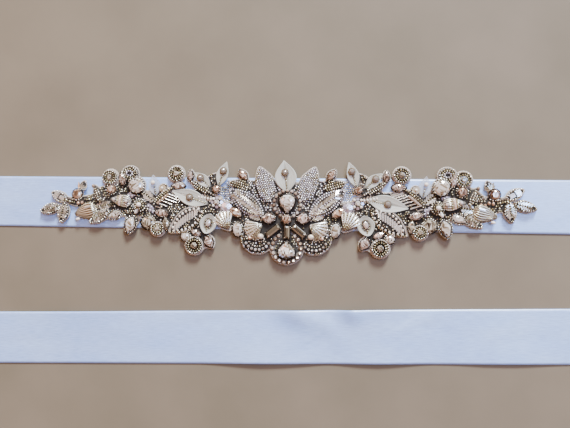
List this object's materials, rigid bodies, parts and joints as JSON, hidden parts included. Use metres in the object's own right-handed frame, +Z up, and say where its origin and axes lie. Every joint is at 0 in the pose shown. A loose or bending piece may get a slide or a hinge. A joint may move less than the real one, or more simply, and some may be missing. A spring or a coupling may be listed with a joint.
{
  "type": "bridal sash",
  "caption": "Satin ribbon sash lying flat in a long loop, with a felt applique of beads, cut stones and cloth petals sewn to the middle of its front run.",
  "frame": {"origin": "on the surface that the sash lies on, under the front ribbon's centreline at the applique's middle", "axes": "+X along the front run of ribbon, +Y towards the pointed top petal, +Z up out of the surface"},
  "size_m": [1.0967, 0.159, 0.0086],
  "materials": {
    "satin": "double-face satin ribbon",
    "petal": "stiffened ivory satin",
    "organza": "crisp sheer organza",
    "beadwork": "felt covered in sewn beadwork",
    "felt": "cut felt edge and plain underside",
    "silver_beads": "silver-lined glass beads",
    "pearl": "pearl lustre beads",
    "crystal": "faceted clear stones with foil backs",
    "champagne": "faceted champagne stones with foil backs",
    "setting": "dark antique claw settings and cups",
    "sequin": "pearly lilac sequins"
  },
  "bodies": {
    "root": {"amber_knot_left": "champagne", "amber_knot_right": "champagne", "amber_round": "champagne", "applique_centre": "beadwork", "applique_left": "beadwork", "applique_right": "beadwork", "baguette_left": "champagne", "baguette_middle": "champagne", "baguette_right": "champagne", "beaded_disc_edge_left": "silver_beads", "beaded_disc_edge_right": "silver_beads", "beaded_disc_lower_left": "silver_beads", "beaded_disc_lower_right": "silver_beads", "beaded_disc_outer_left": "silver_beads", "beaded_disc_outer_right": "silver_beads", "beaded_disc_upper_left": "silver_beads", "beaded_disc_upper_right": "silver_beads", "bud_middle_left": "silver_beads", "bud_middle_right": "silver_beads", "bud_outer_left": "silver_beads", "bud_outer_right": "silver_beads", "drop_stone_left": "crystal", "drop_stone_right": "crystal", "fan_bud_left": "silver_beads", "fan_bud_right": "silver_beads", "fan_shell_left": "silver_beads", "fan_shell_right": "silver_beads", "hex_stone_left": "champagne", "hex_stone_right": "champagne", "marquise_centre_left": "champagne", "marquise_centre_right": "champagne", "marquise_outer_left": "crystal", "marquise_outer_right": "crystal", "marquise_upper_left": "champagne", "marquise_upper_right": "champagne", "pale_rosette_left": "crystal", "pale_rosette_right": "crystal", "pear_stone_bottom": "crystal", "pear_stone_top": "crystal", "petal_cup_left": "petal", "petal_cup_right": "petal", "petal_long_left": "petal", "petal_long_right": "petal", "petal_pointed_left": "petal", "petal_pointed_right": "petal", "petal_sheer_left": "organza", "petal_sheer_right": "organza", "petal_top": "petal", "petal_upper_left": "petal", "petal_upper_right": "petal", "ribbon_front": "satin", "ribbon_tail_left": "satin", "ribbon_tail_right": "satin", "ribbon_turn_left": "satin", "ribbon_turn_right": "satin", "round_shell_left": "crystal", "round_shell_right": "crystal", "square_stone_left": "champagne", "square_stone_right": "champagne"}
  },
  "joints": []
}
